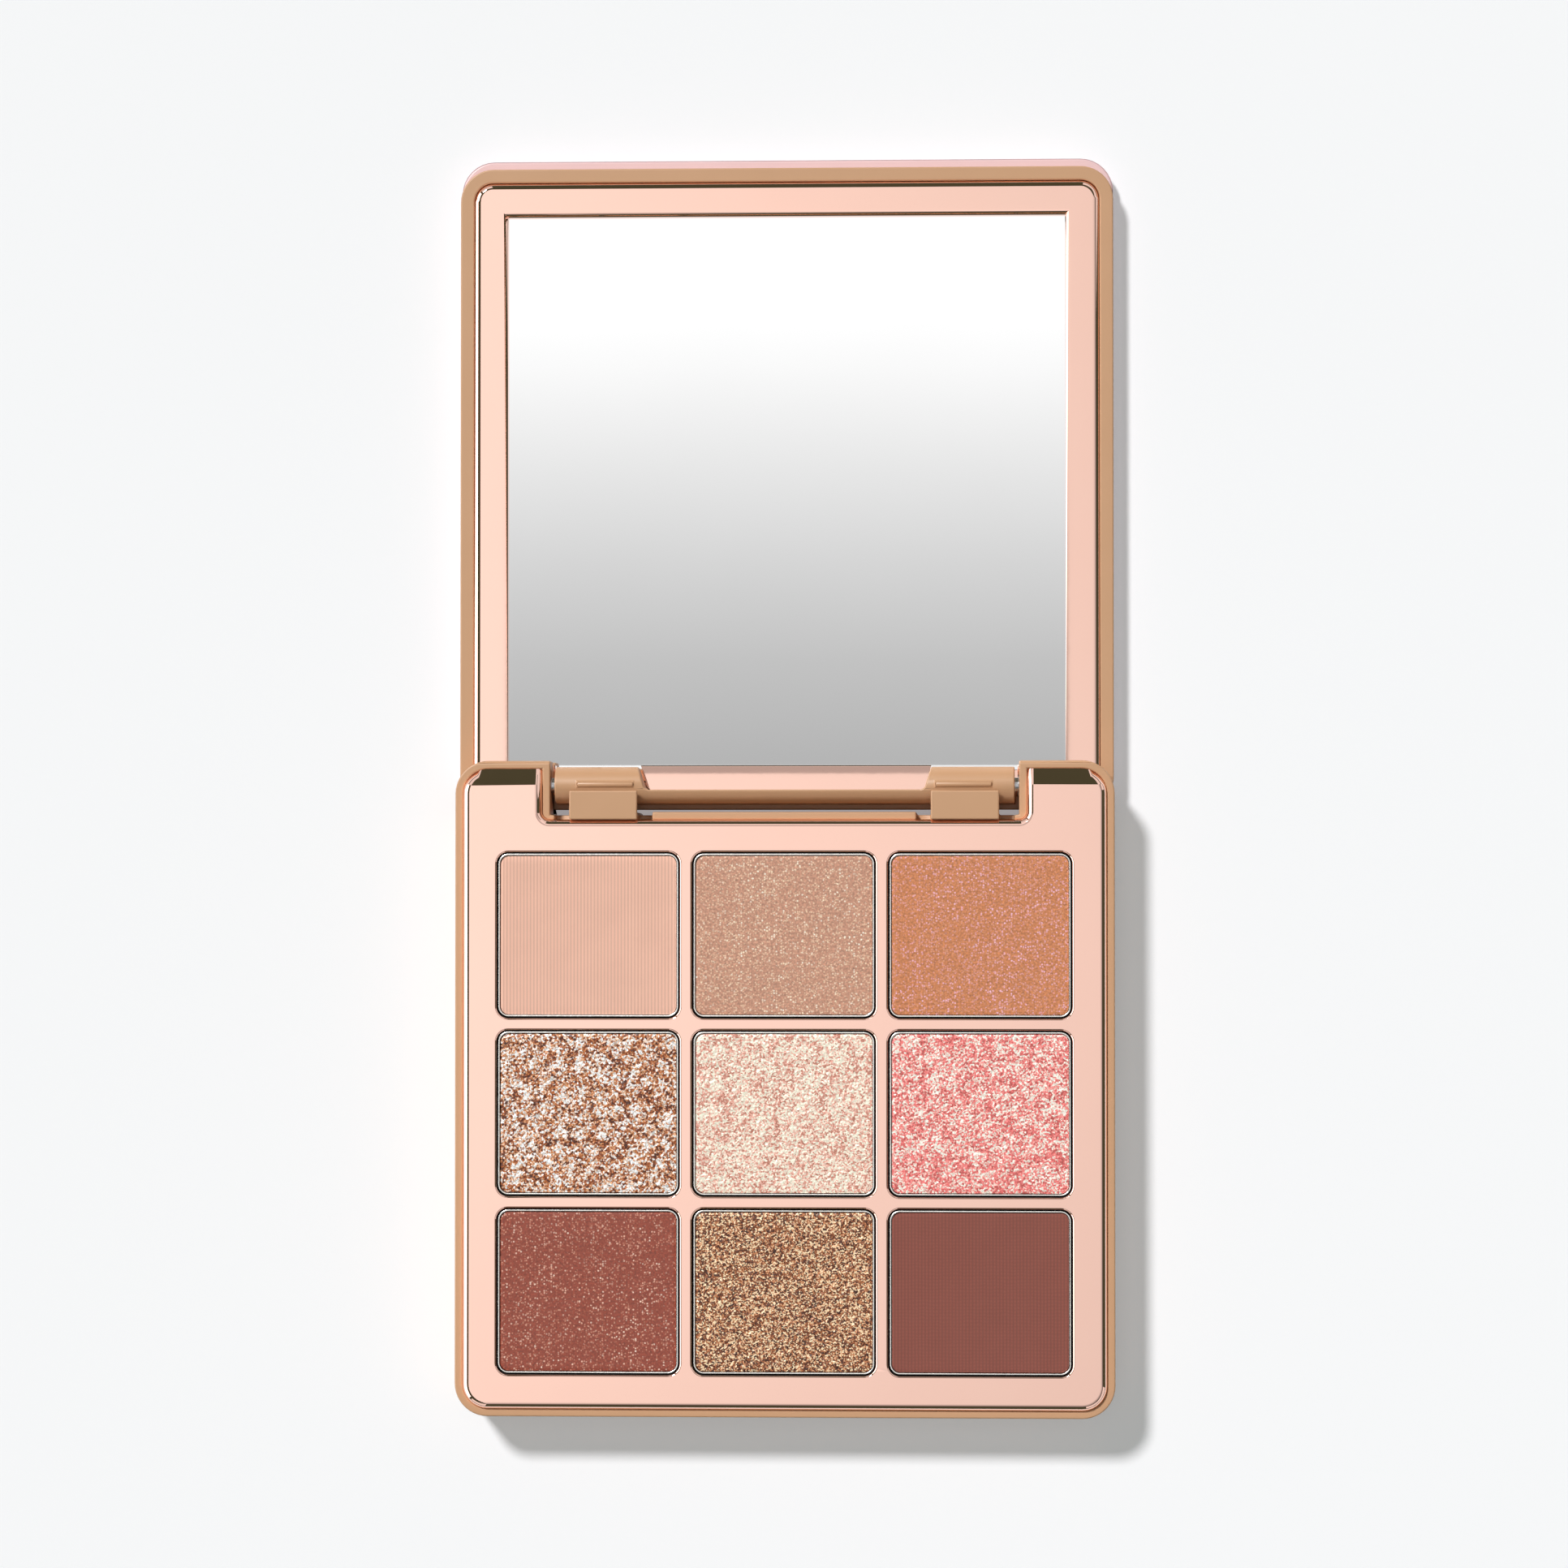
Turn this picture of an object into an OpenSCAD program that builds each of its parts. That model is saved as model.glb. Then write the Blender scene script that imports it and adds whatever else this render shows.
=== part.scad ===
// Eyeshadow palette: a hinged compact with nine pressed shadows and a mirror in its lid, lying open flat.
// X runs to the right along the hinge, Y from the base towards the lid, Z up. The origin is on the surface
// that the palette lies on, straight under the middle of the hinge axis.

/* [Case] */
// Width of the base and of the lid
case_w = 90; // [88:0.5:96]
// From the hinge axis to the front edge of the base
case_reach = 86.1; // [86:0.1:90]
// How far the lid's thumb lip stands out past the base's front
lip = 0.4; // [0:0.1:1]
// Radius of the case's corners, seen from above
corner_r = 4.5; // [4:0.1:6]
// Width of the tan rim that shows round the metallised deck
base_rim_w = 1.1; // [0.9:0.1:1.4]
// Width of the tan rim round the mirror frame
lid_rim_w = 1.9; // [1.6:0.1:2.1]
// Thickness of the lid, from its rim's face to its outer face
lid_h = 4.8; // [4.6:0.1:5.6]

/* [Hinge] */
// Height of the base's deck over the hinge axis
deck_rise = 3.2; // [3.1:0.05:3.4]
// Radius of the lid's hinge barrels
barrel_r = 2.5; // [2.3:0.05:2.6]
// Diameter of the steel hinge pins
pin_d = 2; // [1.5:0.1:2]
// Length of one hinge pin
pin_l = 23; // [20:0.5:23]

/* [Shadows] */
// Width of one pan
pan_w = 24.6; // [23:0.1:24.6]
// Length of one pan, front to back
pan_l = 22.2; // [20:0.1:22.2]
// Height of one pan
pan_h = 3.4; // [2.8:0.1:3.6]
// Distance between the columns' centres
pitch_x = 26.7; // [26.5:0.1:27]
// Distance between the rows' centres
pitch_y = 24.25; // [24:0.05:24.4]
// From the hinge axis to the centre of the back row
first_row = 20.5; // [20:0.1:20.8]

/* [Hidden] */
$fn = 64;
eps = 0.01;
half_w = case_w / 2;
face_gap = 0.1;                      // between the deck and the mirror frame when the palette is shut
back_reach = deck_rise + face_gap;   // the case behind the hinge axis
frame_stand = 0.35;                  // mirror frame over the lid's rim
axis_z = lid_h + frame_stand + face_gap + deck_rise; // the lid lies on its outer face when open flat
deck_z = axis_z + deck_rise;         // top of the metallised deck
deck_stand = 1;                      // how far the deck stands over the tan rim
rim_z = deck_z - deck_stand;
deck_t = 1.6;
deck_under = deck_z - deck_t;

floor_t = 1.4;                       // base shell
wall_t = 1.8;
rib_t = 1.2;
nose_r = 3.7;                        // rounded back of the tan corner blocks
under_y = -3.7;                      // wall under the corner blocks, which the open lid's back edge stops short of
under_z = axis_z - deck_rise;        // underside of the corner blocks

notch_x = 32;                        // hinge recess between the corner blocks
notch_y = -4.1;
notch_back_y = -4.75;                // edge of the deck along the recess
notch_r = 1.1;
stop_x = 18;                         // the recess wall is taller and nearer over the middle
notch_end_w = 0.6;

hook_x0 = 20;                        // hooks that reach over the lid's barrels
hook_x1 = 29.3;
hook_tip_y = -0.8;
hook_post_y = -3.75;
hook_lo = 2.85;
hook_hi = 3.45;

opening_play = 0.4;                  // deck opening over the pan
opening_r = 1.6;
pan_r = 1.4;
pan_t = 0.2;
pan_drop = 0.35;                     // pan's rim below the deck
powder_drop = 0.2;                   // powder below the pan's rim
well_t = 0.8;

rim_end = case_reach - 0.9;          // the lid's rim stops short of the cover's thumb lip
rim_h = 2.2;                         // tan band of the lid
cover_t = 1.2;
cover_edge_r = 2.5;
lid_step = 1.25;                     // rim's lower part sits inside the cover
mirror_drop = 1;
mirror_t = 1.2;
pad_t = 0.2;
lid_floor_d = mirror_drop + mirror_t + pad_t;
lid_floor_t = lid_h - lid_floor_d - cover_t;
pocket_y = lid_rim_w - back_reach;    // back wall of the lid's pocket
relief_r = 3.85;                     // clears the corner blocks
relief_x = 31.8;

view_x = 38.4;                       // mirror opening
view_y0 = 2.8;
view_y1 = 78.5;
frame_play = 0.08;                   // mirror frame to the barrels
glass_lap = 0.65;                    // mirror hidden under the frame

barrel_x = 31.4;                     // outer ends of the barrels
barrel_end_x = 20;                   // inner ends of the barrels, towards the mirror
end_slope = 16;                      // the inner ends slope this many degrees down to the bar
end_fillet = 0.8;
bar_x = 19.3;
bar_y = -0.65;
neck_y = 0.5;
ridge_x0 = 20.6;
ridge_x1 = 28.3;
ridge_r = 0.45;
ridge_rise = 0.25;
ridge_y = 0.07;
pin_play = 0.05;
bore_end_x = 20.5;
pin_out_x = half_w - 0.8;            // pins end just inside the base's side faces

magnet = [12, 2.6, 1.2];
magnet_x = 20;
base_magnet_y = -82.6;
lid_magnet_y = 81.4;

rib_x = pitch_x / 2;                 // stiffening ribs of the base, under the webs of the deck
rib_y = [for (i = [0.5, 1.5]) -first_row - i * pitch_y];
shadow_colours = [
    ["#e5b7a2", "#c89b84", "#cc8b6f"],
    ["#b07c5e", "#eccbb8", "#eca8a2"],
    ["#9b5c4e", "#a9825f", "#895347"]
];

// Flat rectangle with round corners, given by its low and high corners.
module round_rect(low, high, r) {
    size = high - low;
    translate(low) {
        translate([r, 0]) square([size.x - 2 * r, size.y]);
        translate([0, r]) square([size.x, size.y - 2 * r]);
        for (x = [r, size.x - r], y = [r, size.y - r])
            translate([x, y]) circle(r);
    }
}

// The same, as a slab from height z0 to z1.
module slab(low, high, r, z0, z1) {
    translate([0, 0, z0]) linear_extrude(z1 - z0) round_rect(low, high, r);
}

module block(x, y, z) {
    translate([x[0], y[0], z[0]]) cube([x[1] - x[0], y[1] - y[0], z[1] - z[0]]);
}

// A rod along X, given by its ends, with its centre line at y, z.
module rod(r, x0, x1, y, z) {
    translate([x0, y, z]) rotate([0, 90, 0]) cylinder(r = r, h = x1 - x0);
}

// Repeats a part on the right and on the left.
module both_sides() {
    children();
    mirror([1, 0, 0]) children();
}

// What lies outside a rounded back of radius r round the hinge axis.
module behind_nose(r) {
    difference() {
        block([-half_w - 1, half_w + 1], [0, 10], [-1, deck_z + 1]);
        rod(r, -half_w - 2, half_w + 2, 0, axis_z);
    }
}

// What lies over the deck's back slope, which runs down to the rim's level.
module over_slope() {
    end_y = back_reach - base_rim_w;
    translate([-half_w, 0, 0]) rotate([90, 0, 90]) linear_extrude(case_w)
        polygon([[0, deck_z], [2 * end_y, deck_z - 2 * deck_stand], [2 * end_y, deck_z + 1], [0, deck_z + 1]]);
}

module hinge_hook() {
    block([hook_x0, hook_x1], [notch_back_y, hook_tip_y], [axis_z + hook_lo, axis_z + hook_hi]);
    block([hook_x0, hook_x1], [notch_back_y, hook_post_y], [floor_t, axis_z + hook_hi]);
}

module base_shell() color("#cba27f") {
    difference() {
        slab([-half_w, -case_reach], [half_w, back_reach], corner_r, 0, rim_z);
        behind_nose(nose_r);
        // step under the back, which the lid's edge turns into
        block([-half_w - 1, half_w + 1], [under_y, 10], [-1, under_z]);
        // hinge recess
        block([-notch_x, notch_x], [notch_y, 10], [-1, deck_z]);
        both_sides() block([stop_x, notch_x - notch_end_w], [notch_back_y, 0], [axis_z - 1, deck_z]);
        // inside, and the ledge that carries the deck
        slab([-half_w + wall_t, -case_reach + wall_t], [half_w - wall_t, notch_back_y - 1],
             corner_r - wall_t, floor_t, rim_z + 1);
        translate([0, 0, deck_under]) linear_extrude(deck_t) deck_outline(base_rim_w - eps);
        both_sides() rod(pin_d / 2, bore_end_x, half_w + 1, 0, axis_z);
        // shallow panel in the underside
        slab([-30, -65], [30, -20], 3, -1, 0.3);
    }
    block([-stop_x, stop_x], [notch_back_y, under_y], [floor_t, rim_z]);
    both_sides() hinge_hook();
    // ribs that carry the pan wells
    well_z = deck_z - pan_drop - pan_h - well_t;
    both_sides() block([rib_x - rib_t / 2, rib_x + rib_t / 2], [-case_reach + 1, notch_back_y - 0.5],
                       [floor_t - eps, well_z]);
    for (y = rib_y)
        block([-half_w + 1, half_w - 1], [y - rib_t / 2, y + rib_t / 2], [floor_t - eps, well_z]);
}

// Outline of the metallised deck, which leaves a rim of width inset round it.
module deck_outline(inset) {
    x = notch_x + inset;
    difference() {
        round_rect([-half_w + inset, -case_reach + inset], [half_w - inset, back_reach - inset], corner_r - inset);
        round_rect([-x, notch_back_y], [x, 10], notch_r);
    }
}

function column_x(column) = (column - 1) * pitch_x;
function row_y(row) = -first_row - row * pitch_y;

// Repeats a part at the nine pans.
module at_pan(index) {
    translate([column_x(index % 3), row_y(floor(index / 3)), 0]) children();
}

module deck() color("#f2c3ae") {
    opening = [pan_w + opening_play, pan_l + opening_play] / 2;
    well = opening + [well_t, well_t];
    well_floor = deck_z - pan_drop - pan_h;
    difference() {
        union() {
            translate([0, 0, deck_under]) linear_extrude(deck_t) deck_outline(base_rim_w);
            slab([column_x(0), row_y(2)] - well, [column_x(2), row_y(0)] + well, opening_r,
                 well_floor - well_t, deck_under + eps);
        }
        over_slope();
        for (i = [0 : 8]) at_pan(i) slab(-opening, opening, opening_r, well_floor, deck_z + 1);
    }
}

module pan(index) color("#c9c4bd") {
    outer = [pan_w, pan_l] / 2;
    inner = outer - [pan_t, pan_t];
    top = deck_z - pan_drop;
    at_pan(index) difference() {
        slab(-outer, outer, pan_r, top - pan_h, top);
        slab(-inner, inner, pan_r - pan_t, top - pan_h + pan_t, top + 1);
    }
}

module shadow(index) color(shadow_colours[floor(index / 3)][index % 3]) {
    half = [pan_w, pan_l] / 2 - [pan_t, pan_t];
    top = deck_z - pan_drop;
    at_pan(index) slab(-half, half, pan_r - pan_t, top - pan_h + pan_t, top - powder_drop);
}

module base_magnets() color("#8d8f93") {
    both_sides() translate([magnet_x - magnet.x / 2, base_magnet_y - magnet.y / 2, deck_under - magnet.z])
        cube(magnet);
}

module hinge_pin() color("#d8d8d8") rod(pin_d / 2, pin_out_x - pin_l, pin_out_x, 0, axis_z);

// What lies outboard of a barrel's inner end: the end slopes in towards the bar and meets it in a fillet.
module barrel_plan() {
    tangent = [end_fillet * cos(end_slope), bar_y + end_fillet * (1 - sin(end_slope))];
    centre_x = barrel_end_x - tangent.x - (barrel_r - tangent.y) * tan(end_slope);
    linear_extrude(20) polygon(concat(
        [for (a = [-90 : 6 : -end_slope - 1]) [centre_x + end_fillet * cos(a), bar_y + end_fillet * (1 + sin(a))]],
        [[centre_x + tangent.x, tangent.y],
         [centre_x + tangent.x + (5 - tangent.y) * tan(end_slope), 5],
         [half_w, 5], [half_w, -6], [centre_x, -6]]));
}

module hinge_barrel() {
    intersection() {
        union() {
            rod(barrel_r, 0, barrel_x, 0, axis_z);
            block([0, barrel_x], [-barrel_r, neck_y], [lid_h - 1, axis_z]);
            block([0, barrel_x], [pocket_y - eps, neck_y], [lid_h - lid_floor_d - eps, lid_h]);
        }
        barrel_plan();
    }
    rod(ridge_r, ridge_x0, ridge_x1, ridge_y, axis_z + barrel_r + ridge_rise - ridge_r);
}

// Curved bar between the barrels, which closes the back of the shut case.
module hinge_bar() {
    intersection() {
        rod(barrel_r, -bar_x, bar_x, 0, axis_z);
        block([-half_w, half_w], [-5, bar_y], [axis_z - eps, 20]);
    }
    block([-bar_x, bar_x], [-barrel_r, bar_y], [lid_h - 1, axis_z]);
    block([-bar_x, bar_x], [pocket_y - eps, bar_y], [lid_h - lid_floor_d - eps, lid_h]);
}

module corner_relief() {
    both_sides() rod(relief_r, relief_x, half_w + 1, 0, axis_z);
}

module lid_rim() color("#c69a72") difference() {
    union() {
        difference() {
            union() {
                slab([-half_w, -back_reach], [half_w, rim_end], corner_r, lid_h - rim_h, lid_h);
                slab([-half_w + lid_step, -back_reach + lid_step], [half_w - lid_step, rim_end - lid_step],
                     corner_r - lid_step, lid_h - lid_floor_d - lid_floor_t, lid_h - rim_h + eps);
            }
            slab([-half_w + lid_rim_w, -back_reach + lid_rim_w], [half_w - lid_rim_w, rim_end - lid_rim_w],
                 corner_r - lid_rim_w, lid_h - lid_floor_d, lid_h + 1);
            corner_relief();
        }
        hinge_bar();
        both_sides() hinge_barrel();
    }
    both_sides() rod(pin_d / 2 + pin_play, bore_end_x, barrel_x + 1, 0, axis_z);
}

// Corner of the cover, rounded towards its outer face.
module cover_corner() {
    rotate_extrude($fn = 32) {
        square([corner_r - cover_edge_r, eps]);
        translate([0, cover_edge_r]) square([corner_r, lid_h - rim_h - cover_edge_r]);
        intersection() {
            translate([corner_r - cover_edge_r, cover_edge_r]) circle(cover_edge_r, $fn = 48);
            square([corner_r, cover_edge_r + eps]);
        }
    }
}

module lid_cover() color("#f0c6c4") difference() {
    hull() for (x = [-1, 1], y = [-back_reach + corner_r, case_reach + lip - corner_r])
        translate([x * (half_w - corner_r), y, 0]) cover_corner();
    step = lid_step - 0.05;
    slab([-half_w + step, -back_reach + step], [half_w - step, rim_end - step], corner_r - step,
         cover_t, lid_h);
}

module mirror_frame() color("#f2c3ae") {
    inset = lid_rim_w + 0.05;
    z_back = lid_h - lid_floor_d + 0.05;
    z_face = lid_h + frame_stand;
    z_glass = lid_h - mirror_drop;
    difference() {
        slab([-half_w + inset, -back_reach + inset], [half_w - inset, rim_end - inset], corner_r - inset,
             z_back, z_face);
        block([-view_x, view_x], [view_y0, view_y1], [z_back - 1, z_face + 1]);
        block([-view_x - glass_lap, view_x + glass_lap], [view_y0 - glass_lap, view_y1 + glass_lap],
              [z_back - 1, z_glass]);
        // room for the bar, the barrels and the hooks that reach under them when the palette is shut
        block([-relief_x, relief_x], [-10, bar_y + 0.05], [0, z_face + 1]);
        both_sides() intersection() {
            translate([-frame_play, frame_play, 0]) barrel_plan();
            union() {
                block([0, relief_x], [-10, neck_y + 0.2], [0, z_face + 1]);
                block([0, relief_x], [-10, view_y0 + eps], [z_glass - 0.05, z_face + 1]);
            }
        }
        corner_relief();
        both_sides() translate([magnet_x - magnet.x / 2 - 0.05, lid_magnet_y - magnet.y / 2 - 0.05, z_back - 1])
            cube(magnet + [0.1, 0.1, 1.05]);
    }
}

module mirror_glass() color("#c8ccd0") {
    lap = glass_lap - 0.05;
    block([-view_x - lap, view_x + lap], [view_y0 - lap, view_y1 + lap],
          [lid_h - mirror_drop - mirror_t, lid_h - mirror_drop]);
}

module mirror_pad() color("#e8e6e0") {
    block([-view_x + 2, view_x - 2], [view_y0 + 2, view_y1 - 2], [lid_h - lid_floor_d, lid_h - lid_floor_d + pad_t]);
}

module lid_magnets() color("#8d8f93") {
    both_sides() translate([magnet_x - magnet.x / 2, lid_magnet_y - magnet.y / 2, lid_h - lid_floor_d])
        cube(magnet);
}

base_shell();
deck();
for (i = [0 : 8]) pan(i);
for (i = [0 : 8]) shadow(i);
base_magnets();
mirror([1, 0, 0]) hinge_pin();  // hinge_pin_left
hinge_pin();  // hinge_pin_right
lid_rim();
lid_cover();
mirror_frame();
mirror_glass();  // mirror
mirror_pad();
lid_magnets();
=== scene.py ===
from math import cos, hypot, pi, radians

import bmesh
import bpy
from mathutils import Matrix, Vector, noise


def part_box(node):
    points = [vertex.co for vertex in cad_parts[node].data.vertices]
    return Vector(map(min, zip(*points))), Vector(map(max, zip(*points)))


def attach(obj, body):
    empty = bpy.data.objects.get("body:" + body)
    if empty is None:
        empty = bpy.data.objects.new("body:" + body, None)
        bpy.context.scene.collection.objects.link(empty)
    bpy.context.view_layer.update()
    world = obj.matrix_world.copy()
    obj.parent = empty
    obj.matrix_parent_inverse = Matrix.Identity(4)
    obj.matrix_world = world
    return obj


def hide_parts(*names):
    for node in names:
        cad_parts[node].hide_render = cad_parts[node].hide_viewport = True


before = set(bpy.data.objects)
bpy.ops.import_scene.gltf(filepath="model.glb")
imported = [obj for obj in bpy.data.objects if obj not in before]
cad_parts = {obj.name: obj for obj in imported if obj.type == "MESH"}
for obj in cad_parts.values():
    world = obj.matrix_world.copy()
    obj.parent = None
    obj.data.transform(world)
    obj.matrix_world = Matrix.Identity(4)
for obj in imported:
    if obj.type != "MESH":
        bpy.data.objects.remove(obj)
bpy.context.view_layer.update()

MM = 0.001


# Base shell: one injection moulding in tan satin plastic, with the hinge blocks, the hooks and the ledge for
# the deck. Every edge of the moulding carries the small radius of its tool.
SHELL_EDGE = 0.22 * MM
TAN = "#c69872"


def linear(text):
    """The linear colour of a #rrggbb shade."""
    channels = [int(text[i:i + 2], 16) / 255 for i in (1, 3, 5)]
    return [c / 12.92 if c <= 0.04045 else ((c + 0.055) / 1.055) ** 2.4 for c in channels]


def moulding(node):
    """The merged copy of a designed part, with its flat faces whole again."""
    shape = bmesh.new()
    shape.from_mesh(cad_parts[node].data)
    bmesh.ops.remove_doubles(shape, verts=shape.verts, dist=0.0005 * MM)
    bmesh.ops.dissolve_limit(shape, angle_limit=radians(0.4), verts=shape.verts, edges=shape.edges)
    return shape


def sharp_edges(shape, angle=32):
    return [e for e in shape.edges if len(e.link_faces) == 2 and e.calc_face_angle(0) > radians(angle)]


def round_over(shape, edges, radius, segments):
    bmesh.ops.bevel(shape, geom=edges, offset=radius, offset_type="OFFSET", affect="EDGES",
                    segments=segments, profile=0.5, material=-1, clamp_overlap=False)


def make_piece(name, shape, finish, body, stands_for, crease=40):
    """The finished piece: smooth except at its creases, in its finish, riding on its body."""
    for face in shape.faces:
        face.smooth = True
    for edge in shape.edges:
        edge.smooth = len(edge.link_faces) == 2 and edge.calc_face_angle(0) < radians(crease)
    mesh = bpy.data.meshes.new(name)
    shape.to_mesh(mesh)
    shape.free()
    piece = bpy.data.objects.new(name, mesh)
    bpy.context.scene.collection.objects.link(piece)
    mesh.materials.append(finish)
    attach(piece, body)
    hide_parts(*stands_for)
    return piece


def keep_flats_flat(piece):
    weights = piece.modifiers.new("flat faces", "WEIGHTED_NORMAL")
    weights.mode = "FACE_AREA"
    weights.keep_sharp = True


def add_node(tree, kind, settings=None, **inputs):
    """A shader node. i0, i1 and so on are its inputs by number, and other words are its inputs by name. A
    socket given to an input is linked, and anything else is set."""
    made = tree.nodes.new(kind)
    for key, value in (settings or {}).items():
        setattr(made, key, value)
    for key, value in inputs.items():
        by_number = key[0] == "i" and key[1:].isdigit()
        socket = made.inputs[int(key[1:]) if by_number else key.replace("_", " ")]
        if isinstance(value, bpy.types.NodeSocket):
            tree.links.new(value, socket)
        else:
            socket.default_value = value
    return made


def new_finish(name, roughness, metallic=0.0):
    """A material and the parts of it that every finish here uses: its tree, its shader and the piece's own
    coordinates."""
    material = bpy.data.materials.new(name)
    material.use_nodes = True
    tree = material.node_tree
    shader = tree.nodes["Principled BSDF"]
    shader.inputs["Roughness"].default_value = roughness
    shader.inputs["Metallic"].default_value = metallic
    place = tree.nodes.new("ShaderNodeTexCoord").outputs["Object"]
    return material, tree, shader, place


def shade_between(tree, factor, low, high):
    """A colour that runs from low to high."""
    mix = add_node(tree, "ShaderNodeMix", {"data_type": "RGBA"}, i0=factor)
    mix.inputs["A"].default_value = (*low, 1) if len(low) == 3 else low
    mix.inputs["B"].default_value = (*high, 1) if len(high) == 3 else high
    return mix.outputs["Result"]


def value_between(tree, factor, low, high):
    return add_node(tree, "ShaderNodeMapRange", i0=factor, i3=low, i4=high).outputs[0]


def bump(tree, shader, height, depth, strength=1.0):
    made = add_node(tree, "ShaderNodeBump", Height=height, Distance=depth, Strength=strength)
    tree.links.new(made.outputs["Normal"], shader.inputs["Normal"])


def grain(tree, place, size, detail=2.0, distortion=0.0):
    """Noise whose blotches are about size across."""
    return add_node(tree, "ShaderNodeTexNoise", Vector=place, Scale=0.5 / size, Detail=detail,
                    Distortion=distortion).outputs["Fac"]


def satin_plastic(name, shade, roughness=0.4):
    """Plastic from a finely etched mould: an even colour with faint flow, and a very fine grain."""
    material, tree, shader, place = new_finish(name, roughness)
    base = Vector(linear(shade))
    flow = grain(tree, place, 3 * MM)
    tree.links.new(shade_between(tree, flow, base * 0.985, base * 1.015), shader.inputs["Base Color"])
    etched = grain(tree, place, 0.06 * MM)
    tree.links.new(value_between(tree, flow, roughness - 0.04, roughness + 0.04), shader.inputs["Roughness"])
    bump(tree, shader, etched, 0.004 * MM, 0.5)
    return material


tan_plastic = satin_plastic("tan_plastic", TAN)
shape = moulding("base_shell")
round_over(shape, sharp_edges(shape), SHELL_EDGE, 3)
shell = make_piece("base_shell_moulding", shape, tan_plastic, "base", ["base_shell"])
keep_flats_flat(shell)


# Deck: a thinner moulding, metallised rose gold under a clear lacquer, glued on the shell's ledge. Its outer
# edge and its back are well rounded, and its nine openings lightly.
DECK_EDGE = 0.95 * MM
OPENING_EDGE = 0.3 * MM
OPENING_MARGIN = 0.4 * MM
# How deep in the wells the painted shade starts: below this, and on their steep walls, the deck is dark
# brown.
WELL_SHADE_DEPTH = 1 * MM
ROSE = "#ffd3c2"
deck_low, deck_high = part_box("deck")
pan_boxes = {i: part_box(f"pan_{i}") for i in range(1, 10)}


def metallised(name, shade, roughness=0.035):
    """Vacuum-metallised plastic: bright, with a barely uneven lacquer."""
    material, tree, shader, place = new_finish(name, roughness, metallic=1.0)
    base = Vector(linear(shade))
    haze = grain(tree, place, 6 * MM, detail=4.0)
    tree.links.new(shade_between(tree, haze, base * 0.98, base * 1.02), shader.inputs["Base Color"])
    tree.links.new(value_between(tree, haze, roughness - 0.01, roughness + 0.01), shader.inputs["Roughness"])
    bump(tree, shader, grain(tree, place, 1.2 * MM), 0.0015 * MM, 0.6)
    return material


def over_pans(point):
    """Whether a point lies over one of the nine openings."""
    return any(all(low[axis] - OPENING_MARGIN < point[axis] < high[axis] + OPENING_MARGIN for axis in (0, 1))
               for low, high in pan_boxes.values())


rose_metal = metallised("rose_metallised", ROSE)
shape = moulding("deck")
top = deck_high[2]
rims, openings = [], []
for edge in sharp_edges(shape):
    middle = (edge.verts[0].co + edge.verts[1].co) / 2
    if over_pans(middle) and middle.z > top - 0.1 * MM:
        openings.append(edge)
    elif max(face.normal.z for face in edge.link_faces) > 0.8 and middle.z > top - 0.9 * MM:
        rims.append(edge)
round_over(shape, rims, DECK_EDGE, 6)
round_over(shape, [e for e in openings if e.is_valid], OPENING_EDGE, 5)
# The steep walls and deep floors of the nine wells get the second finish, a dark brown that is painted shade
# round each pan.
for face in shape.faces:
    middle = face.calc_center_median()
    in_opening = over_pans(middle) and middle.z > deck_low[2] + 0.5 * MM
    if in_opening and (face.normal.z < 0.7 or middle.z < top - WELL_SHADE_DEPTH):
        face.material_index = 1
deck = make_piece("deck_plate", shape, rose_metal, "base", ["deck"], crease=20)
# The second finish: dark brown painted shade for the wells' walls and floors.
deck.data.materials.append(satin_plastic("well_painted_shade", "#2c221b", 0.6))
keep_flats_flat(deck)


# Pans: nine open trays pressed from thin bright metal, with straight walls and a cut rim. Each is glued into
# its well in the deck.
PAN_RIM_EDGE = 0.07 * MM


def bare_metal(name, shade, roughness, ring=None):
    """Bare metal with fine marks from rolling or turning."""
    material, tree, shader, place = new_finish(name, roughness, metallic=1.0)
    base = Vector(linear(shade))
    marks = grain(tree, place, 0.25 * MM, detail=4.0)
    if ring:
        wave = add_node(tree, "ShaderNodeTexWave", {"bands_direction": "X"}, Vector=place, Scale=0.3 / ring,
                        Distortion=2.0, Detail=2.0)
        marks = wave.outputs["Fac"]
    tree.links.new(shade_between(tree, marks, base * 0.9, base * 1.08), shader.inputs["Base Color"])
    tree.links.new(value_between(tree, marks, roughness - 0.06, roughness + 0.08), shader.inputs["Roughness"])
    bump(tree, shader, marks, 0.002 * MM, 0.5)
    return material


pan_metal = bare_metal("pan_metal", "#f4f1ec", 0.25)
for number in range(1, 10):
    shape = moulding(f"pan_{number}")
    near_rim = pan_boxes[number][1][2] - 0.1 * MM
    rim = [e for e in sharp_edges(shape) if (e.verts[0].co.z + e.verts[1].co.z) / 2 > near_rim]
    round_over(shape, rim, PAN_RIM_EDGE, 2)
    tray = make_piece(f"tray_{number}", shape, pan_metal, "base", [f"pan_{number}"])
    keep_flats_flat(tray)


# Shadows: powder pressed into the pans under a cloth-faced die, so that the mattes keep a fine rib and the
# metallics a crust of flakes. The cake is a little low at its edge, where the die has its clearance.
CAKE_CORNER = 1.1 * MM
CAKE_GAP = 0.1 * MM
CAKE_FALL = 0.12 * MM
CAKE_FALL_WIDTH = 0.35 * MM
RIB = 0.46 * MM
CRUST_SEED = 4
noise.seed_set(CRUST_SEED)


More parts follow.
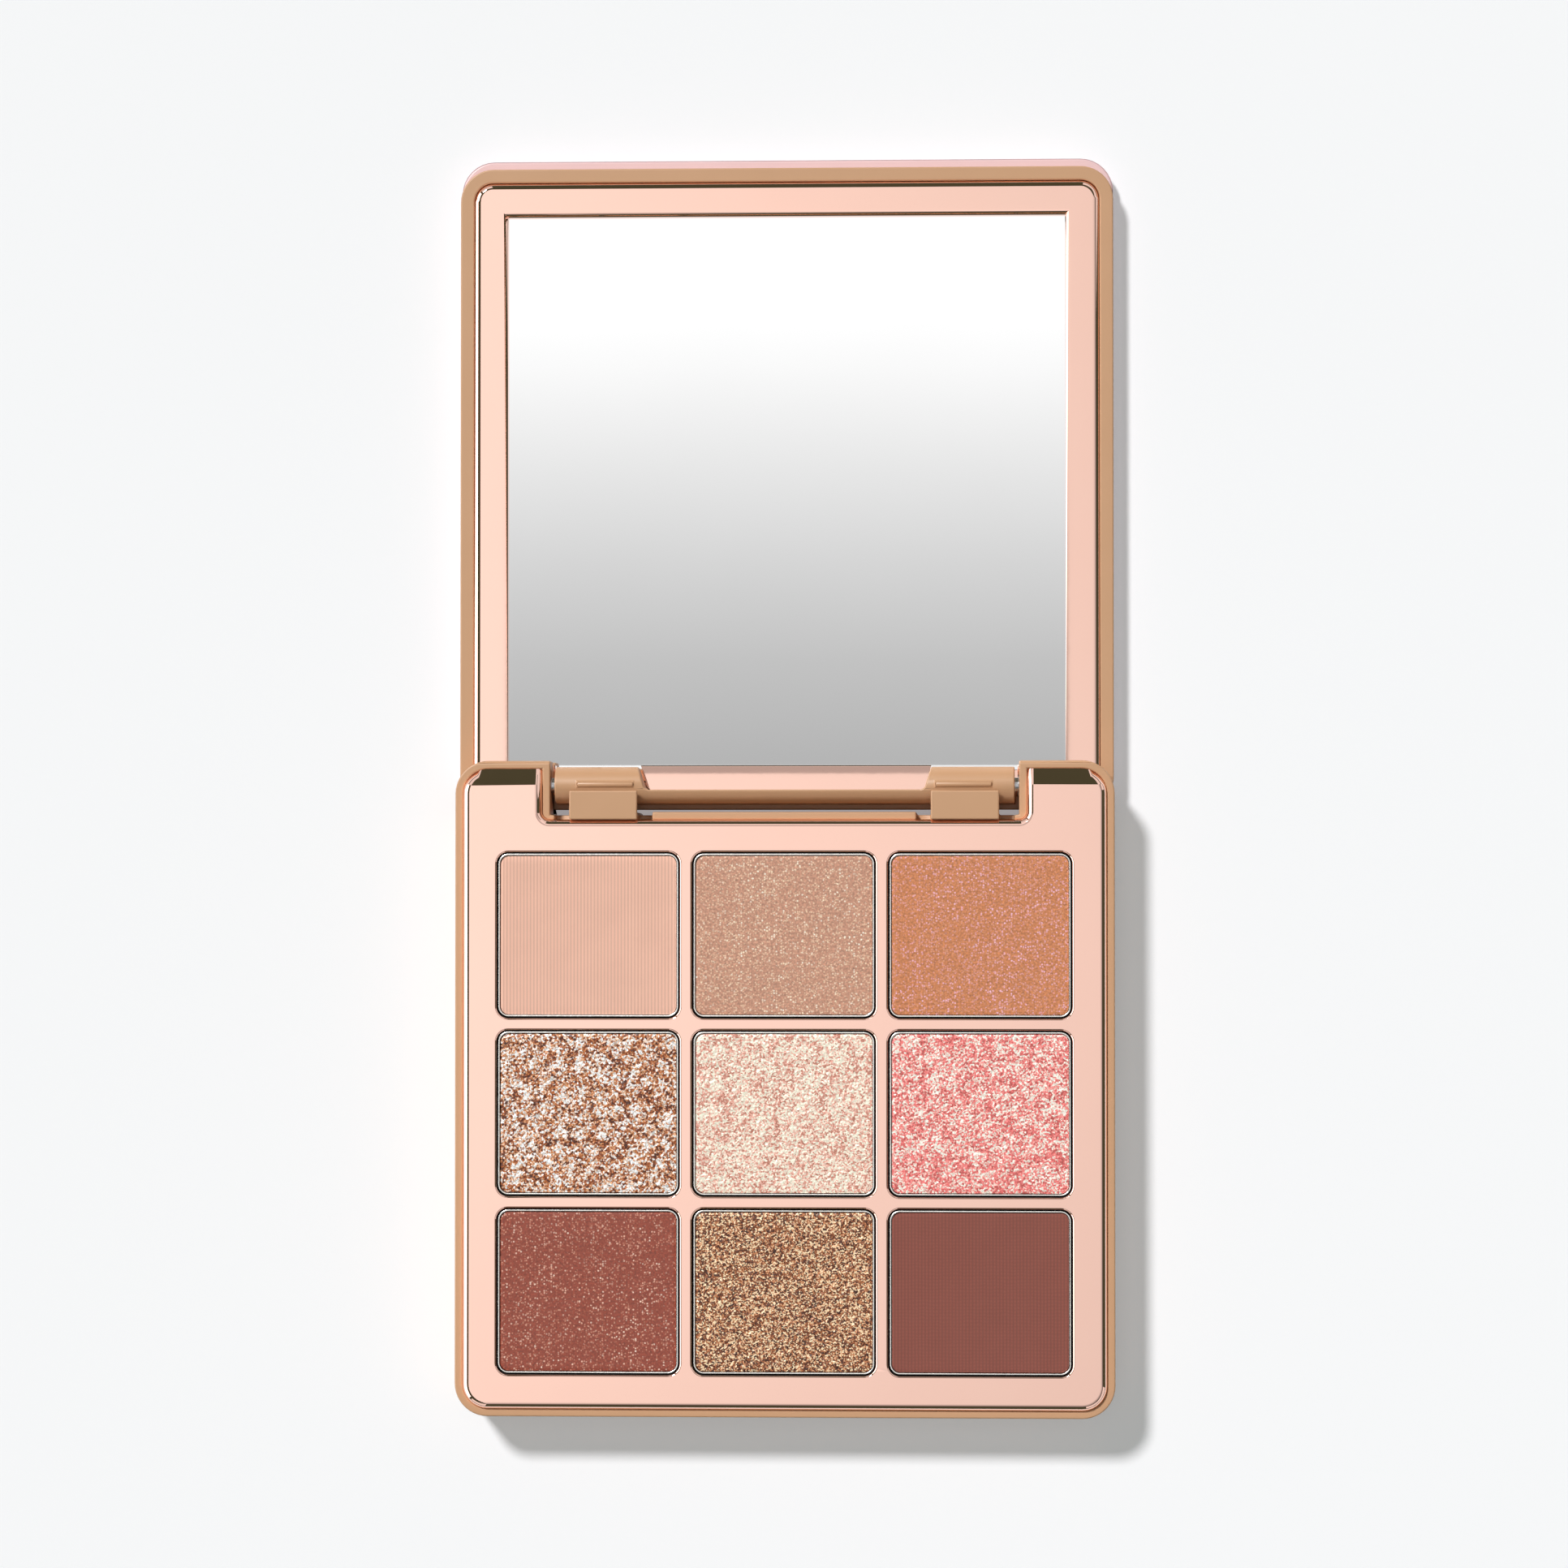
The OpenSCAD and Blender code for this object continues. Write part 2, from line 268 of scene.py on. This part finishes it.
def cake(number, step_x, step_y, height):
    """The pressed cake as a grid with round corners and a skirt, and its height at each point."""
    low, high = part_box(f"shadow_{number}")
    size = Vector(high) - Vector(low) - Vector((2, 2, 0)) * CAKE_GAP
    centre = (Vector(low) + Vector(high)) / 2
    shape = bmesh.new()
    columns, rows = round(size.x / step_x), round(size.y / step_y)
    bmesh.ops.create_grid(shape, x_segments=columns, y_segments=rows, size=0.5)
    inner = Vector((size.x / 2 - CAKE_CORNER, size.y / 2 - CAKE_CORNER))
    for vert in shape.verts:
        x, y = vert.co.x * size.x, vert.co.y * size.y
        over_x, over_y = abs(x) - inner.x, abs(y) - inner.y
        if over_x > 0 and over_y > 0:
            pull = max(over_x, over_y) / hypot(over_x, over_y)
            x = (inner.x + over_x * pull) * (1 if x > 0 else -1)
            y = (inner.y + over_y * pull) * (1 if y > 0 else -1)
            over_x, over_y = over_x * pull, over_y * pull
        edge = min(size.x / 2 - abs(x), size.y / 2 - abs(y))
        if over_x > 0 and over_y > 0:
            edge = CAKE_CORNER - hypot(over_x, over_y)
        fall = max(0.0, 1 - edge / CAKE_FALL_WIDTH) ** 2
        place = Vector((x + centre.x, y + centre.y, 0))
        vert.co = Vector((place.x, place.y, high[2] + height(place) - CAKE_FALL * fall))
    rim = [e for e in shape.edges if e.is_boundary]
    skirt = bmesh.ops.extrude_edge_only(shape, edges=rim)["geom"]
    for vert in skirt:
        if isinstance(vert, bmesh.types.BMVert):
            vert.co.z = low[2]
    bmesh.ops.contextual_create(shape, geom=[e for e in shape.edges if e.is_boundary])
    bmesh.ops.recalc_face_normals(shape, faces=shape.faces)
    return shape


def lumps(place, size, depth, seed):
    """How far the powder stands up at a place, in lumps about size across."""
    return depth * noise.noise(Vector((place.x / size, place.y / size, seed)))


def ribbed(depth, seed):
    """The height of a cake pressed through ribbed cloth."""
    def height(place):
        rib = cos(2 * pi * place.x / RIB)
        return depth * rib + lumps(place, 3 * MM, 0.03 * MM, seed)
    return height


def plain_press(depth, seed):
    """The height of a cake pressed with a smooth die."""
    def height(place):
        return lumps(place, 0.3 * MM, depth, seed) + lumps(place, 3 * MM, 0.04 * MM, seed + 5)
    return height


def make_shadow(number, shape, finish):
    piece = make_piece(f"cake_{number}", shape, finish, "base", [f"shadow_{number}"], crease=60)


def powder_colour(tree, place, shade, contrast=0.06):
    """The even colour of pressed pigment, with slight drifts."""
    base = Vector(linear(shade))
    drift = grain(tree, place, 2.5 * MM, detail=6.0)
    return shade_between(tree, drift, base * (1 - contrast), base * (1 + contrast))


def cells(tree, place, size):
    """Random cells about size across: the distance to each cell's middle and its random colour."""
    made = add_node(tree, "ShaderNodeTexVoronoi", Vector=place, Scale=1 / size)
    return made.outputs["Distance"], made.outputs["Color"]


def step_over(tree, value, threshold, softness):
    return add_node(tree, "ShaderNodeMapRange", i0=value, i1=threshold, i2=threshold + softness).outputs[0]


def times(tree, a, b):
    return add_node(tree, "ShaderNodeMath", {"operation": "MULTIPLY"}, i0=a, i1=b).outputs[0]


def channel(tree, colour, name):
    return add_node(tree, "ShaderNodeSeparateColor", Color=colour).outputs[name]


def darkened(tree, colour, shade):
    """A colour multiplied by another."""
    mix = add_node(tree, "ShaderNodeMix", {"data_type": "RGBA", "blend_type": "MULTIPLY"}, i0=1.0)
    tree.links.new(colour, mix.inputs["A"])
    tree.links.new(shade, mix.inputs["B"])
    return mix.outputs["Result"]


def matte_powder(name, shade, painted_valley_level=0.93, weave=False):
    """Matte pigment with the rib of the pressing cloth, and painted shade that makes it darker between the
    ribs.
    """
    material, tree, shader, place = new_finish(name, 0.85)
    colour = powder_colour(tree, place, shade)
    wave = add_node(tree, "ShaderNodeTexWave", {"bands_direction": "X", "wave_profile": "SIN"}, Vector=place,
                    Scale=2 * pi / RIB / 20, Distortion=0.0)
    wave.inputs["Phase Offset"].default_value = pi / 2
    ribs = wave.outputs["Fac"]
    if weave:
        cross = add_node(tree, "ShaderNodeTexWave", {"bands_direction": "Y"}, Vector=place,
                         Scale=2 * pi / RIB / 20, Distortion=3.0, Detail=1.0)
        ribs = times(tree, wave.outputs["Fac"], value_between(tree, cross.outputs["Fac"], 0.55, 1.0))
    speck = grain(tree, place, 0.1 * MM, detail=3.0)
    # Painted shade: the colour is darker in the rib valleys, down to the given level, and with weave in the
    # cross bands too.
    painted_rib_shade = shade_between(tree, ribs, [painted_valley_level] * 3, [1.02] * 3)
    tree.links.new(darkened(tree, colour, painted_rib_shade), shader.inputs["Base Color"])
    shader.inputs["Sheen Weight"].default_value = 0.15
    bump(tree, shader, speck, 0.02 * MM, 0.5)
    return material


def over_colour(tree, below, mask, above):
    """One colour laid over another where the mask is 1."""
    mixed = add_node(tree, "ShaderNodeMix", {"data_type": "RGBA"}, i0=mask)
    for socket, value in (("A", below), ("B", above)):
        tree.links.new(value, mixed.inputs[socket])
    return mixed.outputs["Result"]


def glint_mask(tree, place, size, share, reach):
    """Small round grains in a share of the cells, and each cell's random colour."""
    distance, random = cells(tree, place, size)
    chosen = step_over(tree, channel(tree, random, "Red"), 1 - share, 0.02)
    dot = add_node(tree, "ShaderNodeMapRange", i0=distance, i1=reach, i2=reach * 0.5).outputs[0]
    return times(tree, chosen, dot), random


def sparkle_powder(name, shade, dust, glints, fine_share, share):
    """Satin pigment with fine mica: dusty grains all over, and a scatter of larger bright ones that gathers
    in places. The bright grains are partly the mica's pale colour and partly painted glints."""
    material, tree, shader, place = new_finish(name, 0.6)
    colour = powder_colour(tree, place, shade, 0.06)
    speck = grain(tree, place, 0.15 * MM, detail=2.0)
    dusty = darkened(tree, colour, shade_between(tree, speck, [0.2] * 3, [1.75] * 3))
    # Fine grains, between the dust colour and a glint colour: partly the mica's own colour, partly painted
    # glints.
    fine, fine_random = glint_mask(tree, place, 0.24 * MM, fine_share, 0.6)
    dust_and_glint_colour = shade_between(tree, channel(tree, fine_random, "Green"), linear(dust), linear(glints[1]))
    surface = over_colour(tree, dusty, times(tree, fine, 0.7), dust_and_glint_colour)
    gathered = step_over(tree, grain(tree, place, 1.6 * MM, detail=3.0), 0.3, 0.35)
    coarse, random = glint_mask(tree, place, 0.32 * MM, share, 0.5)
    coarse = times(tree, coarse, gathered)
    # Painted glints: near-white grains laid into the base colour.
    glint = shade_between(tree, channel(tree, random, "Green"), linear(glints[0]), linear(glints[1]))
    surface = over_colour(tree, surface, coarse, glint)
    tree.links.new(surface, shader.inputs["Base Color"])
    tree.links.new(value_between(tree, coarse, 0.65, 0.35), shader.inputs["Roughness"])
    bump(tree, shader, speck, 0.02 * MM, 0.5)
    return material


def flaked_powder(name, shades, flake, shake, seam_shade=0.75):
    """Pearl flakes pressed into a crust: the cake's mesh holds the tone of each patch, and the flakes in it
    differ by up to shake."""
    material, tree, shader, place = new_finish(name, 0.4)
    patch = tree.nodes.new("ShaderNodeAttribute")
    patch.attribute_name = "tone"
    own = channel(tree, cells(tree, place, flake)[1], "Red")
    fine = grain(tree, place, 0.09 * MM, detail=2.0)
    tone = patch.outputs["Fac"]
    for change, amount in ((own, shake), (fine, 0.6)):
        tone = add_node(tree, "ShaderNodeMath", {"operation": "ADD"}, i0=tone,
                        i1=value_between(tree, change, -amount, amount)).outputs[0]
    ramp = add_node(tree, "ShaderNodeValToRGB", Fac=tone)
    stops = ramp.color_ramp.elements
    while len(stops) < len(shades):
        stops.new(0.5)
    for stop, (position, shade) in zip(stops, shades):
        stop.position = position
        stop.color = (*linear(shade), 1)
    # Painted shade: the colour darkens towards the seams between flakes, down to seam_shade.
    seam = add_node(tree, "ShaderNodeTexVoronoi", {"feature": "DISTANCE_TO_EDGE"}, Vector=place,
                    Scale=0.5 / flake).outputs["Distance"]
    painted_seam_shade = add_node(tree, "ShaderNodeMapRange", i0=seam, i1=0.0, i2=0.14, i3=seam_shade, i4=1.0).outputs[0]
    tree.links.new(darkened(tree, ramp.outputs["Color"], painted_seam_shade), shader.inputs["Base Color"])
    tree.links.new(value_between(tree, tone, 0.0, 0.2), shader.inputs["Metallic"])
    bump(tree, shader, fine, 0.02 * MM, 0.6)
    return material


def flaked_cake(number, flake, cluster, own_weight, cluster_weight, seed):
    """A crust of flat flakes at odd angles, and the tone of the flake at each point."""
    def cell_of(place):
        return noise.voronoi(Vector((place.x / flake, place.y / flake, seed)))[1][0]

    def height(place):
        cell = cell_of(place)
        tilt = noise.noise_vector(cell * 7.3)
        offset = Vector((place.x / flake, place.y / flake, seed)) - cell
        return 0.16 * MM * (tilt.x * offset.x + tilt.y * offset.y) + 0.07 * MM * tilt.z \
            + lumps(place, cluster, 0.06 * MM, seed)

    shape = cake(number, 0.13 * MM, 0.13 * MM, height)
    tones = shape.verts.layers.float.new("tone")
    for vert in shape.verts:
        cell = cell_of(vert.co)
        own = noise.noise(cell * 5.7 + Vector((3.1, 0, 0)))
        group = noise.noise(Vector((vert.co.x / cluster, vert.co.y / cluster, seed + 9)))
        vert[tones] = 0.5 + own_weight * own + cluster_weight * group
    return shape


make_shadow(1, cake(1, RIB / 6, 0.5 * MM, ribbed(0.012 * MM, 1)),
            matte_powder("shadow_peach", "#f5c1ab", 0.72))
make_shadow(2, cake(2, 0.2 * MM, 0.2 * MM, plain_press(0.025 * MM, 2)),
            sparkle_powder("shadow_taupe", "#c38d74", "#dcae90", ("#fffaec", "#ffe6c4"), 0.4, 0.26))
make_shadow(3, cake(3, 0.2 * MM, 0.2 * MM, plain_press(0.025 * MM, 3)),
            sparkle_powder("shadow_amber", "#c87c4d", "#dc9a6a", ("#ffcce8", "#f0a8b8"), 0.36, 0.38))
make_shadow(4, flaked_cake(4, 0.3 * MM, 1.5 * MM, 0.5, 0.5, 4),
            flaked_powder("shadow_quartz",
                          [(0.0, "#54240e"), (0.25, "#ac521d"), (0.45, "#d6884c"), (0.6, "#f2bd92"),
                           (0.74, "#feece2"), (0.88, "#ffffff")], 0.27 * MM, 0.5, 0.5))
make_shadow(5, flaked_cake(5, 0.25 * MM, 2.2 * MM, 0.25, 0.25, 15),
            flaked_powder("shadow_champagne",
                          [(0.02, "#c4806c"), (0.28, "#f4ac9a"), (0.5, "#fad2c0"), (0.65, "#fff2e0"),
                           (0.86, "#fffce6")], 0.22 * MM, 0.5))
make_shadow(6, flaked_cake(6, 0.25 * MM, 1.8 * MM, 0.25, 0.3, 26),
            flaked_powder("shadow_coral",
                          [(0.02, "#c45a55"), (0.3, "#ff7e7c"), (0.54, "#ff9692"), (0.67, "#fcccbc"),
                           (0.84, "#fffcf0")], 0.23 * MM, 0.5))
make_shadow(7, cake(7, 0.2 * MM, 0.2 * MM, plain_press(0.02 * MM, 7)),
            sparkle_powder("shadow_brick", "#8d3b26", "#a85a40", ("#ffe4d2", "#e8a88e"), 0.3, 0.22))
make_shadow(8, flaked_cake(8, 0.25 * MM, 1.4 * MM, 0.12, 0.1, 37),
            flaked_powder("shadow_bronze",
                          [(0.08, "#3e190a"), (0.34, "#824524"), (0.54, "#aa653c"), (0.72, "#de9361"),
                           (0.9, "#ffe4bc")], 0.18 * MM, 0.6, 0.85))
make_shadow(9, cake(9, RIB / 6, 0.25 * MM, ribbed(0.01 * MM, 9)),
            matte_powder("shadow_mahogany", "#934e40", 0.66, weave=True))


# Hinge pins: two ground steel pins, pressed through the base's corner blocks from the sides. The lid's
# barrels turn on them.
def finish_in_place(node, finish):
    """Puts a finish on a designed part that is shown as it is."""
    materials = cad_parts[node].data.materials
    materials.clear()
    materials.append(finish)


steel = bare_metal("steel_pin", "#d2d2d4", 0.22, ring=0.3 * MM)
for side in ("left", "right"):
    finish_in_place(f"hinge_pin_{side}", steel)


# Magnets: nickel-plated bars that hold the palette shut. One pair is glued under the deck's front edge and
# the other behind the mirror frame.
nickel = bare_metal("nickel_plate", "#9a9c9f", 0.3)
for pair in ("base_magnets", "lid_magnets"):
    finish_in_place(pair, nickel)


# Lid rim: the inner moulding of the lid, in the same tan satin plastic as the base. It carries the hinge
# barrels, their ridges and the curved bar between them.
shape = moulding("lid_rim")
round_over(shape, sharp_edges(shape), SHELL_EDGE, 3)
lid_rim = make_piece("lid_rim_moulding", shape, tan_plastic, "lid", ["lid_rim"])
keep_flats_flat(lid_rim)


# Lid cover: the outer moulding in pink satin plastic, which is the palette's top when it is shut. It closes
# the back of the lid rim and carries the thumb lip.
COVER_EDGE = 0.3 * MM
pink_plastic = satin_plastic("pink_plastic", "#e6c4c6", 0.3)
shape = moulding("lid_cover")
round_over(shape, sharp_edges(shape), COVER_EDGE, 3)
cover = make_piece("lid_cover_moulding", shape, pink_plastic, "lid", ["lid_cover"])
keep_flats_flat(cover)


# Mirror frame: a plastic bezel metallised like the deck, glued into the lid rim. Its outer edge is rounded,
# and so is the step down to the mirror.
FRAME_EDGE = 0.9 * MM
STEP_EDGE = 0.6 * MM
HINGE_GAP_X = 32 * MM
HINGE_GAP_Y = 3 * MM
frame_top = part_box("mirror_frame")[1][2]
glass_low, glass_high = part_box("mirror")
shape = moulding("mirror_frame")
outer, inner, near = [], [], []
for edge in sharp_edges(shape):
    middle = (edge.verts[0].co + edge.verts[1].co) / 2
    if middle.z < frame_top - 0.05 * MM:
        continue
    inside_x = abs(middle.x) < glass_high[0] + 0.5 * MM
    inside_y = glass_low[1] - 0.5 * MM < middle.y < glass_high[1] + 0.5 * MM
    if inside_x and inside_y:
        (near if middle.y < glass_low[1] + 1.5 * MM else inner).append(edge)
    elif not (abs(middle.x) < HINGE_GAP_X and middle.y < HINGE_GAP_Y):
        outer.append(edge)
round_over(shape, inner, STEP_EDGE, 6)
round_over(shape, [e for e in outer if e.is_valid], FRAME_EDGE, 6)
round_over(shape, [e for e in near if e.is_valid], SHELL_EDGE, 3)
bezel = make_piece("mirror_bezel", shape, rose_metal, "lid", ["mirror_frame"])
keep_flats_flat(bezel)


# Mirror: a silvered sheet, stuck on a foam pad that lies on the floor of the lid rim. The frame surrounds it.
# Both are shown as they were designed.
def silvering():
    material, tree, shader, place = new_finish("silvering", 0.015, metallic=1.0)
    clean = grain(tree, place, 12 * MM, detail=3.0)
    tree.links.new(shade_between(tree, clean, [0.94] * 3, [0.97] * 3), shader.inputs["Base Color"])
    tree.links.new(value_between(tree, clean, 0.01, 0.02), shader.inputs["Roughness"])
    return material


finish_in_place("mirror", silvering())
finish_in_place("mirror_pad", satin_plastic("pad_foam", "#e8e6e0", 0.8))


# Studio: a pale floor with an even glow, a soft box overhead and a key light from the back left. Cards round
# the set and a graded one close above the mirror show only in reflections. The surroundings are dim in
# reflections and pale to the camera.
FLOOR_GLOW = 0.257
CARD_REACH = 2.2
CARD_GAP = 0.4


def emit(name, strength):
    """A glowing material, and the node that sets its light."""
    material = bpy.data.materials.new(name)
    material.use_nodes = True
    tree = material.node_tree
    tree.nodes.clear()
    light = add_node(tree, "ShaderNodeEmission", Strength=strength)
    output = tree.nodes.new("ShaderNodeOutputMaterial")
    tree.links.new(light.outputs[0], output.inputs["Surface"])
    return material, light


def sheet(name, corners, material):
    """A flat four-cornered sheet of the studio."""
    shape = bmesh.new()
    bmesh.ops.contextual_create(shape, geom=[shape.verts.new(corner) for corner in corners])
    mesh = bpy.data.meshes.new(name)
    shape.to_mesh(mesh)
    shape.free()
    made = bpy.data.objects.new(name, mesh)
    bpy.context.scene.collection.objects.link(made)
    mesh.materials.append(material)
    return made


def level_sheet(name, low, high, z, material):
    corners = [(low[0], low[1], z), (high[0], low[1], z), (high[0], high[1], z), (low[0], high[1], z)]
    return sheet(name, corners, material)


def only_reflected(card):
    """Hides a card from everything but reflections."""
    card.visible_camera = False
    card.visible_diffuse = False
    card.visible_shadow = False
    card.visible_transmission = False


def level_ramp(tree, value, levels):
    """Brightness against place, given as a list of pairs."""
    start, end = levels[0][0], levels[-1][0]
    along = add_node(tree, "ShaderNodeMapRange", i0=value, i1=start, i2=end).outputs[0]
    ramp = add_node(tree, "ShaderNodeValToRGB", Fac=along)
    stops = ramp.color_ramp.elements
    while len(stops) < len(levels):
        stops.new(0.5)
    for stop, (place, level) in zip(stops, levels):
        stop.position = (place - start) / (end - start)
        stop.color = (level, level, level, 1)
    return ramp.outputs["Color"]


def light_card(name, low, high, z, along_y, along_x):
    """A glowing sheet overhead, with its brightness graded front to back and left to right."""
    material, light = emit(name, 1.0)
    tree = material.node_tree
    own = tree.nodes.new("ShaderNodeTexCoord").outputs["Object"]
    apart = add_node(tree, "ShaderNodeSeparateXYZ", Vector=own)
    tree.links.new(level_ramp(tree, apart.outputs["Y"], along_y), light.inputs["Color"])
    tree.links.new(level_ramp(tree, apart.outputs["X"], along_x), light.inputs["Strength"])
    return level_sheet(name, low, high, z, material)


def standing_card(name, start, end, low, high, strength):
    """An upright glowing sheet beside the set, seen only in the shiny parts."""
    corners = [(*start, low), (*end, low), (*end, high), (*start, high)]
    only_reflected(sheet(name, corners, emit(name, strength)[0]))


floor_material, tree, shader, place = new_finish("floor", 0.9)
shader.inputs["Specular IOR Level"].default_value = 0.0
shader.inputs["Emission Color"].default_value = (0.96, 1, 1.03, 1)
shader.inputs["Emission Strength"].default_value = FLOOR_GLOW
cloudy = grain(tree, place, 150 * MM)
floor_shade = shade_between(tree, cloudy, (0.7, 0.695, 0.71), (0.71, 0.705, 0.72))
tree.links.new(floor_shade, shader.inputs["Base Color"])
level_sheet("floor", (-4, -4), (4, 4), 0, floor_material)

soft_box = light_card("soft_box", (-0.31, -1.7), (1.4, 0.45), 1.6,
                      [(-1.7, 0.0), (-0.8, 0.6), (-0.28, 0.92), (-0.05, 1.03), (0.45, 1.0)],
                      [(-0.31, 1.13), (-0.22, 1.09), (0.075, 0.88), (0.5, 0.75), (1.4, 0.0)])
soft_box.visible_camera = False
graded_card = light_card("graded_card", (-0.0502, 0.0057), (0.0395, 0.094), 0.12,
                         [(0.0067, 0.485), (0.0224, 0.564), (0.0382, 0.696), (0.054, 0.845),
                          (0.0697, 1.0), (0.0776, 1.06)],
                         [(-0.0502, 1.0), (0.0395, 1.0)])
only_reflected(graded_card)
standing_card("side_card", (-1.2, -1), (-1.2, 1), 0.02, 1.4, 3.0)
for name, start, end in (
        ("back_left_card", (-CARD_REACH, CARD_REACH), (-CARD_GAP, CARD_REACH)),
        ("back_right_card", (CARD_GAP, CARD_REACH), (CARD_REACH, CARD_REACH)),
        ("front_left_card", (-CARD_REACH, -CARD_REACH), (-CARD_GAP, -CARD_REACH)),
        ("front_right_card", (CARD_GAP, -CARD_REACH), (CARD_REACH, -CARD_REACH)),
        ("right_back_card", (CARD_REACH, CARD_GAP), (CARD_REACH, CARD_REACH)),
        ("right_front_card", (CARD_REACH, -CARD_REACH), (CARD_REACH, -CARD_GAP))):
    standing_card(name, start, end, 0.4, 2.4, 0.85)

key = bpy.data.lights.new("key", "SUN")
key.energy = 3.1
key.angle = radians(8)
key_object = bpy.data.objects.new("key", key)
key_object.rotation_euler = Vector((-5.2, 6.9, 11)).to_track_quat("Z", "Y").to_euler()
bpy.context.scene.collection.objects.link(key_object)

world = bpy.data.worlds.new("surroundings")
bpy.context.scene.world = world
world.use_nodes = True
tree = world.node_tree
tree.nodes.clear()
dim = add_node(tree, "ShaderNodeBackground", Color=(0.065, 0.075, 0.045, 1), Strength=1.0)
pale = add_node(tree, "ShaderNodeBackground", Color=(0.9, 0.9, 0.9, 1), Strength=1.0)
seen = tree.nodes.new("ShaderNodeLightPath").outputs["Is Camera Ray"]
mix = add_node(tree, "ShaderNodeMixShader", i0=seen, i1=dim.outputs[0], i2=pale.outputs[0])
output = tree.nodes.new("ShaderNodeOutputWorld")
tree.links.new(mix.outputs[0], output.inputs["Surface"])


# Camera: looks almost straight down on the open palette, from in front of the hinge and a little to its
# right, and is turned to keep the palette in the middle.
camera = bpy.data.cameras.new("camera")
camera.sensor_width = 36
camera.lens = 116.24
camera_object = bpy.data.objects.new("camera", camera)
camera_object.location = (0.03196, -0.01445, 0.7)
camera_object.rotation_euler = (radians(1.208), radians(2.655), radians(0.004))
bpy.context.scene.collection.objects.link(camera_object)
bpy.context.scene.camera = camera_object
bpy.context.scene.view_settings.view_transform = "Standard"
